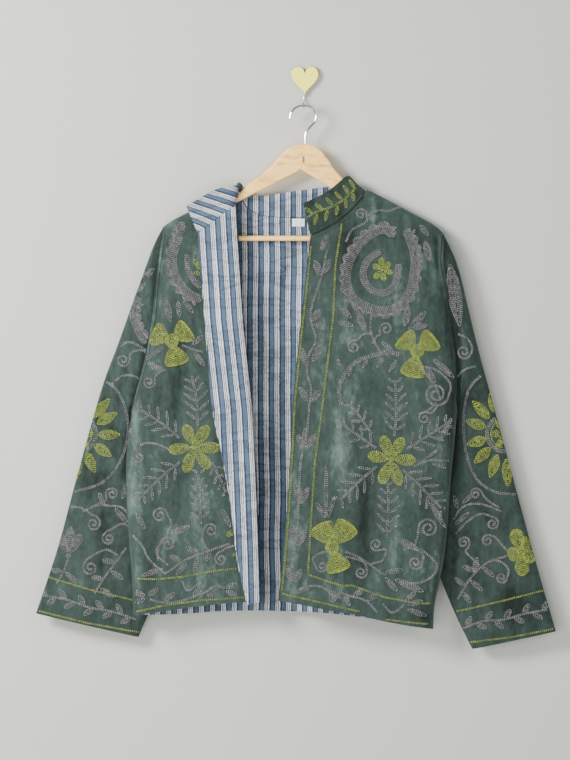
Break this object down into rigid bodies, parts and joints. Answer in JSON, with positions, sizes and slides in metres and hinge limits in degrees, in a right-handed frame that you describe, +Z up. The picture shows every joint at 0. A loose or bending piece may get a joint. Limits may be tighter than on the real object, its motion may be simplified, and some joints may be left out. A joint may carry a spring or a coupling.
{
  "type": "velvet suzani jacket on a wooden hanger and wall hook",
  "caption": "Open-front velvet jacket with stand collar, embroidered all over, hung on a wooden hanger from a hook under a heart-shaped wall plaque.",
  "frame": {"origin": "middle of the flat back face of the wall plaque, on the wall's surface", "axes": "+X to the right as seen from the front, +Y into the wall, +Z up"},
  "size_m": [0.8352, 0.0693, 0.9371],
  "materials": {
    "velvet": "grey-green cotton velvet with a nap, chain-stitched in grey and lime thread",
    "striped_cotton": "matte cotton, woven in blue and white stripes",
    "label_tape": "white woven tape",
    "beech": "clear satin varnish",
    "chrome": "polished",
    "painted_plaque": "pale yellow satin paint"
  },
  "bodies": {
    "root": {"back_panel": "velvet", "back_lining": "striped_cotton", "neck_label": "label_tape", "front_right": "velvet", "front_left": "velvet", "lapel_lining": "striped_cotton", "sleeve_right": "velvet", "sleeve_left": "velvet", "collar_velvet": "velvet", "collar_lining": "striped_cotton", "hanger_arms": "beech", "hanger_bar": "beech", "hanger_hook": "chrome", "wall_hook": "chrome", "wall_plaque": "painted_plaque"}
  },
  "joints": []
}
